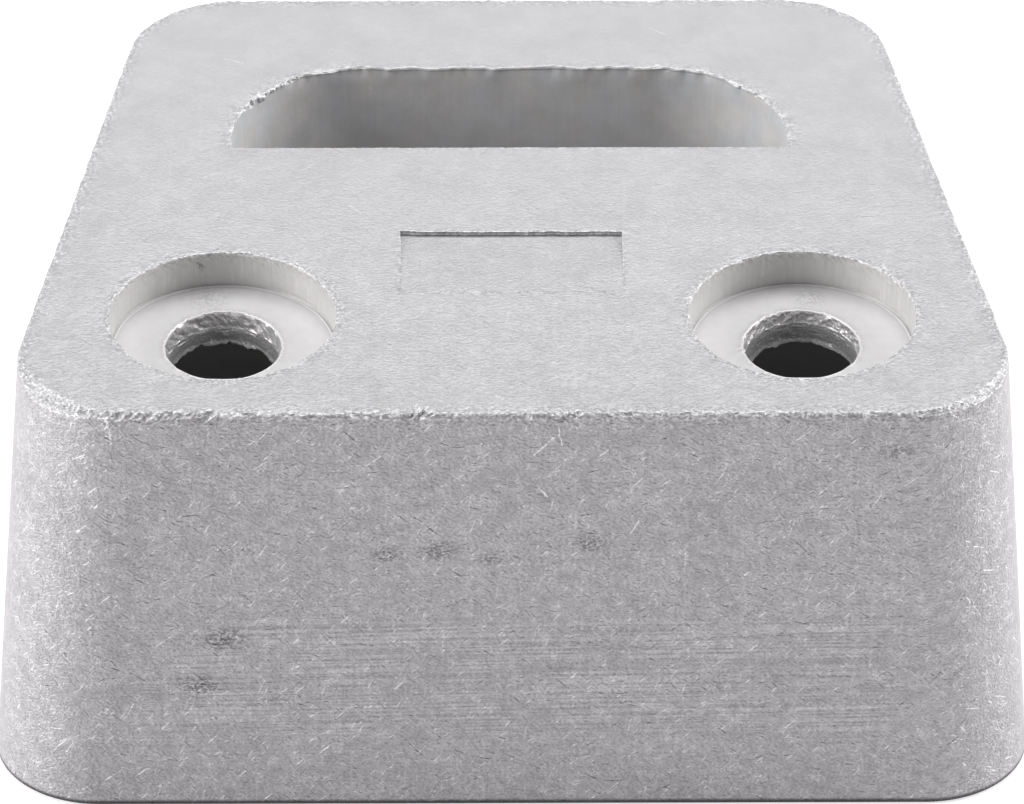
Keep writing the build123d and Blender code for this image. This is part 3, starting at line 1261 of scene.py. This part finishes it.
# Painted shade together with dirt: hollows are darkened.
tone = skin.lay_on(tone, skin.lowest(crest, 0.0), 0.22)
tone = skin.lay_on(tone, skin.times(worn, skin.minus(fleck, 0.65)), 0.22)
print("with worn edges:", len(skin.tree.nodes), "nodes")

# %% [markdown]
# The marks with a place of their own are laid on after that. The scratches are bent a little by noise. The
# ones on the front are measured in the plane of the front wall, and the ones on the top in the plane of the
# top face, so that the draft and the small dents of the surface don't matter. The smudges are groups of dark
# specks.

# %% Tumbled skin, scratches and smudges
bent = skin.vectors("ADD", place, skin.scaled((0.7, -0.5, 0.6), about_half(patches)))
flat_front = skin.vectors("MULTIPLY", bent, (1, 0, 1))
flat_top = skin.vectors("MULTIPLY", bent, (1, 1, 0))
on_front = skin.span(y_mm, front_wall + 0.1, front_wall + 0.5, 1.0, 0.0)
front_scratch = skin.times(masks_of(skin, line, flat_front, front_scratches), on_front)
top_scratch = skin.times(masks_of(skin, line, flat_top, top_scratches), upward)
scratch = skin.highest(front_scratch, skin.times(top_scratch, 0.3))
tone = skin.lay_on(tone, skin.times(scratch, skin.span(grain, 0.35, 0.55, 0.5, 1.0)), 0.85)
# Painted highlights: the edge glints are bright colour laid on the tone.
tone = skin.lay_on(tone, masks_of(skin, line, place, edge_glints), 0.7)

smudge_stretch = 0.6
squeezed = skin.vectors("MULTIPLY", bent, (smudge_stretch, 1, 1))
smudges = [((x * smudge_stretch, y, z), radius) for (x, y, z), radius in smudge_places]
specks = skin.span(grain, 0.57, 0.46)
tone = skin.lay_on(tone, skin.times(masks_of(skin, ball, squeezed, smudges), specks), -0.40)
print("with scratches and smudges:", len(skin.tree.nodes), "nodes")

# %% [markdown]
# The drag lines are a noise stretched along the block and turned by about a degree. They are held in a band
# low on the front wall, which fades towards its ends. A few single lines, light and dark, lie on it.

# %% Tumbled skin, drag lines
rising = skin.node("Mapping", Vector=place, Rotation=(0, math.radians(1.2), 0)).outputs[0]
lines = skin.noise(rising, 5.2, detail=1.0, stretch=(0.012, 0.1, 1.0))
band = skin.times(skin.span(z_mm, 5.0, 9.0, 0.3, 1.0), skin.span(z_mm, 16.8, 18.3, 1.0, 0.15))
band = skin.times(band, skin.span(cloud, 0.42, 0.54, 0.3, 1.0))
band = skin.times(band, skin.span(skin.maths("ABSOLUTE", x_mm), 28.0, 34.0, 1.0, 0.0), on_front)
tone = skin.lay_on(tone, skin.times(band, skin.span(lines, 0.40, 0.61, -1.0, 1.0)), 0.12)
broken = skin.times(on_front, skin.span(patches, 0.36, 0.48, 0.15, 1.0))
for rows, amount in ((light_lines, 0.26), (dark_lines, -0.34)):
    tone = skin.lay_on(tone, skin.times(masks_of(skin, line, flat_front, rows), broken), amount)
print("with drag lines:", len(skin.tree.nodes), "nodes")

# %% [markdown]
# Last, the foot gets a painted shadow, a dark line in the colour where the block meets the floor, and nothing
# is let brighter than clean polished metal. The tone then scales the metal's colour. The streaks lean the
# surface's normal, and the grain raises it a little.

# %% Tumbled skin, the whole finish
# Painted shadow: the colour is darkened along the foot, where the block meets the floor.
painted_foot_shadow = skin.times(skin.span(z_mm, 0.30, 0.66, 1.0, 0.0), skin.span(facing["Z"], -0.97, -0.85))
tone = skin.times(skin.lowest(tone, 1.6), skin.lay_on(1.0, painted_foot_shadow, -0.85))
leaned = tilted(skin, tilt, skin.times(patchy, contrast, 0.8))
bump = skin.node("Bump", Height=grain, Strength=from_front(12.0, 1.0, 0.15), Distance=0.00017, Normal=leaned)
skin_colour = skin.scaled((0.585, 0.580, 0.594), tone)
skin.finish(skin_colour, bump, Metallic=0.4, Roughness=skin.lay_on(0.42, grain, 0.16))
print("tumbled skin:", len(skin.tree.nodes), "nodes")

# %% [markdown]
# ## The machined and the inner surfaces
# The seats were cut by an end mill, so they are the smoothest faces. Their walls show faint upright chatter,
# their floors two rough spots at the back where the cutter dug in, and the left wall has a nick. The wall and
# the floor have a slightly different tint, because they mirror different parts of the room.

# %% Milled seats


def with_crests(recipe, tone, bright, dark):
    """The tone with these shares of polish and painted highlight on its crests and of dirt and painted shade
    in its hollows.
    """
    crest = recipe.painted("crest")
    tone = recipe.lay_on(tone, recipe.highest(crest, 0.0), bright)
    return recipe.lay_on(tone, recipe.lowest(crest, 0.0), dark)


seat = recipes["milled_seat"]
place = seat.place_in_mm()
grain = seat.noise(place, 1.2, detail=3.0)
fine = seat.noise(place, 5.0)
upright = seat.span(seat.axes(seat.normal())["Z"], 0.3, 0.8, 1.0, 0.0)
chatter = seat.lay_on(-0.18, seat.noise(place, 5.0, detail=1.0, stretch=(1.0, 1.0, 0.06)), 0.36)
chatter = seat.times(chatter, seat.times(upright, seat.span(grain, 0.42, 0.60, 0.25, 1.0)))
spot_places = [((-24.4, -10.4, 33.5), 2.9), ((24.0, -10.2, 33.5), 2.2)]
spots = seat.times(masks_of(seat, ball, place, spot_places), seat.span(fine, 0.40, 0.62))
nick_lines = [((-25.3, -8.3, 35.75), (-24.7, -8.2, 35.3), 0.24),
              ((-25.2, -8.3, 35.5), (-24.9, -8.2, 35.0), 0.14)]
nick = seat.times(masks_of(seat, line, place, nick_lines), seat.span(fine, 0.36, 0.5))
tone = seat.plus(seat.lay_on(0.93, grain, 0.14), chatter)
tone = seat.lay_on(seat.lay_on(tone, spots, -0.26), nick, -0.5)
tone = with_crests(seat, tone, 0.25, 0.4)
tint = seat.blend(upright, (0.606, 0.597, 0.603, 1), (0.610, 0.597, 0.591, 1))
bump = seat.node("Bump", Height=seat.plus(chatter, seat.times(spots, 0.6)), Strength=0.5, Distance=0.00008)
seat.finish(seat.scaled(tint, tone), bump, Metallic=0.28, Roughness=0.48)
print("milled seats:", len(seat.tree.nodes), "nodes")

# %% [markdown]
# The torn webs are fresh bright metal with short streaks. The punched land below the tears is darker, and in
# the right hole it starts a little higher.

# %% Torn webs
web = recipes["torn_web"]
place = web.place_in_mm()
axes = web.axes(place)
marks, tilt = streak_stack(web, web_layers)
grain = web.noise(place, 5.0, detail=3.0)
tone = web.lay_on(web.lay_on(0.62, grain, 0.5), marks, 0.35)
# Crests lighter and hollows darker: polish and dirt, together with painted highlight and painted shade.
tone = web.lay_on(tone, web.painted("crest"), 0.25)
land = web.plus(axes["Z"], web.span(axes["X"], -1.0, 1.0, 0.0, -right_shift))
tone = web.times(tone, web.span(land, 31.95, 32.15, 0.68, 1.0))
bump = web.node("Bump", Height=grain, Strength=0.7, Distance=0.00008, Normal=tilted(web, tilt, 0.5))
web.finish(web.scaled((0.88, 0.87, 0.87), tone), bump, Metallic=0.6, Roughness=0.38)
print("torn webs:", len(web.tree.nodes), "nodes")

# %% [markdown]
# The relief bores are left as cast. Their colour is dark with painted shade, and it gets darker upwards,
# where little light comes in.

# %% Relief bores
bore = recipes["relief_bore_painted_shade"]
place = bore.place_in_mm()
grain = bore.noise(place, 0.8, detail=3.0)
depth = bore.span(bore.axes(place)["Z"], 0.5, 9.0)
# Painted shade: the bore's colour darkens upwards, towards the web.
tint = bore.blend(depth, (0.50, 0.495, 0.50, 1), (0.32, 0.318, 0.32, 1))
bump = bore.node("Bump", Height=grain, Strength=0.4, Distance=0.0001)
bore.finish(tint, bump, Metallic=0.0, Roughness=0.7)
print("relief bores:", len(bore.tree.nodes), "nodes")

# %% [markdown]
# The window's wall was never tumbled, because nothing reached it. It keeps the smooth skin that the core
# left, with faint upright lines from drawing the core, and clouds that are a little warmer or cooler. Its
# colour is painted darker downwards, as shade inside the opening.

# %% Window's wall
wall = recipes["window_wall"]
place = wall.place_in_mm()
grain = wall.noise(place, 2.5)
cloud = wall.noise(place, 0.45, detail=3.0)
tone = wall.plus(wall.lay_on(0.83, cloud, 0.30), wall.lay_on(-0.04, grain, 0.08))
drawn = wall.noise(place, 3.0, detail=1.0, stretch=(1.0, 1.0, 0.05))
tone = wall.plus(tone, wall.lay_on(-0.05, drawn, 0.10))
tone = with_crests(wall, tone, 0.4, 0.5)
wall_scratches = [((-17.6, 20.0, 33.1), (-17.3, 20.0, 32.6), 0.09),
                  ((-11.7, 20.0, 34.7), (-11.4, 20.0, 34.5), 0.09)]
tone = wall.lay_on(tone, masks_of(wall, line, place, wall_scratches), 0.3)
# Painted shade: the wall's colour darkens downwards into the opening.
tone = wall.times(tone, wall.span(wall.axes(place)["Z"], 28.0, 36.0, 0.90, 1.0))
stain = wall.span(wall.noise(place, 0.3), 0.40, 0.60)
tint = wall.blend(stain, (0.605, 0.611, 0.624, 1), (0.622, 0.608, 0.602, 1))
bump = wall.node("Bump", Height=grain, Strength=0.25, Distance=0.00005)
wall.finish(wall.scaled(tint, tone), bump, Metallic=0.12, Roughness=0.5)
print("window wall:", len(wall.tree.nodes), "nodes")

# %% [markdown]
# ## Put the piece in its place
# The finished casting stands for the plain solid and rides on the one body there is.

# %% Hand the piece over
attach(block, "root")
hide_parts("anode_block")
